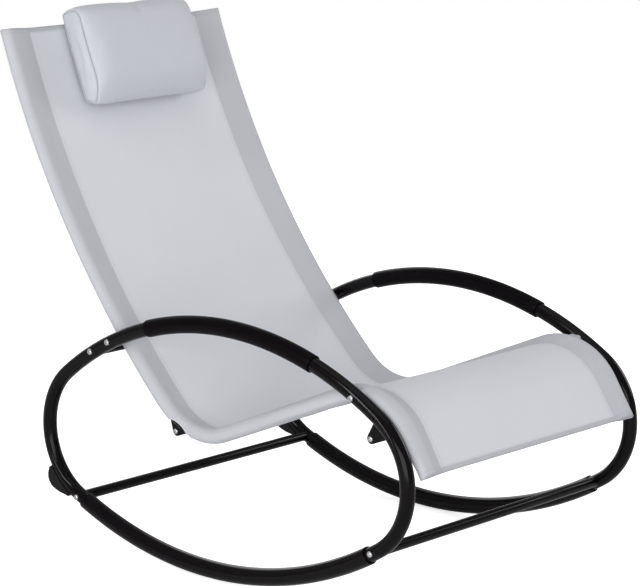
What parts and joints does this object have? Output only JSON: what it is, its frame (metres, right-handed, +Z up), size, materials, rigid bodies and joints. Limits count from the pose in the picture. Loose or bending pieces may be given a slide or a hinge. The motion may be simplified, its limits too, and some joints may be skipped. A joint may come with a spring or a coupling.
{
  "type": "rocking chaise lounge",
  "caption": "Rocking chaise lounge with a fabric sling on bent rails between two oval tube loops that rock on the floor, padded arm sleeves and a headrest pillow.",
  "frame": {"origin": "on the floor under the middle of the chair's box", "axes": "+X the way the sitter faces, +Y to the sitter's left, +Z up"},
  "size_m": [1.025, 0.6178, 0.9243],
  "materials": {
    "frame_paint": "gloss",
    "grip_plastic": "satin",
    "pad_rubber": "matte",
    "zinc": "satin",
    "sling_cloth": "matte",
    "pillow_cloth": "matte",
    "fastener_tape": "matte"
  },
  "bodies": {
    "chair": {"left_loop_tube": "frame_paint", "left_rocker_tube": "frame_paint", "left_arm_grip": "grip_plastic", "left_stop_pad": "pad_rubber", "left_seat_rail": "frame_paint", "left_bend_lug": "frame_paint", "left_front_gusset": "frame_paint", "left_rear_spacer": "grip_plastic", "left_front_spacer": "grip_plastic", "left_top_rail_cap": "grip_plastic", "left_front_rail_cap": "grip_plastic", "left_rear_low_bolt": "zinc", "left_front_low_bolt": "zinc", "left_back_bar_bolt": "zinc", "left_rear_rail_bolt": "zinc", "left_front_rail_bolt": "zinc", "left_bend_lug_bolt": "zinc", "left_front_gusset_bolt": "zinc", "right_loop_tube": "frame_paint", "right_rocker_tube": "frame_paint", "right_arm_grip": "grip_plastic", "right_stop_pad": "pad_rubber", "right_seat_rail": "frame_paint", "right_bend_lug": "frame_paint", "right_front_gusset": "frame_paint", "right_rear_spacer": "grip_plastic", "right_front_spacer": "grip_plastic", "right_top_rail_cap": "grip_plastic", "right_front_rail_cap": "grip_plastic", "right_rear_low_bolt": "zinc", "right_front_low_bolt": "zinc", "right_back_bar_bolt": "zinc", "right_rear_rail_bolt": "zinc", "right_front_rail_bolt": "zinc", "right_bend_lug_bolt": "zinc", "right_front_gusset_bolt": "zinc", "rear_low_bar": "frame_paint", "front_low_bar": "frame_paint", "back_bar": "frame_paint", "bend_spreader_bar": "frame_paint", "front_spreader_bar": "frame_paint", "sling": "sling_cloth", "sling_loop_strip": "fastener_tape"},
    "headrest": {"headrest_pillow": "pillow_cloth", "headrest_hook_strip": "fastener_tape"}
  },
  "joints": [
    {"name": "headrest_height", "type": "hinge", "parent": "chair", "child": "headrest", "pos_m": [0.99697, 0, 1.42612], "axis": [0, -1, 0], "range_deg": [0, 2.88]}
  ]
}
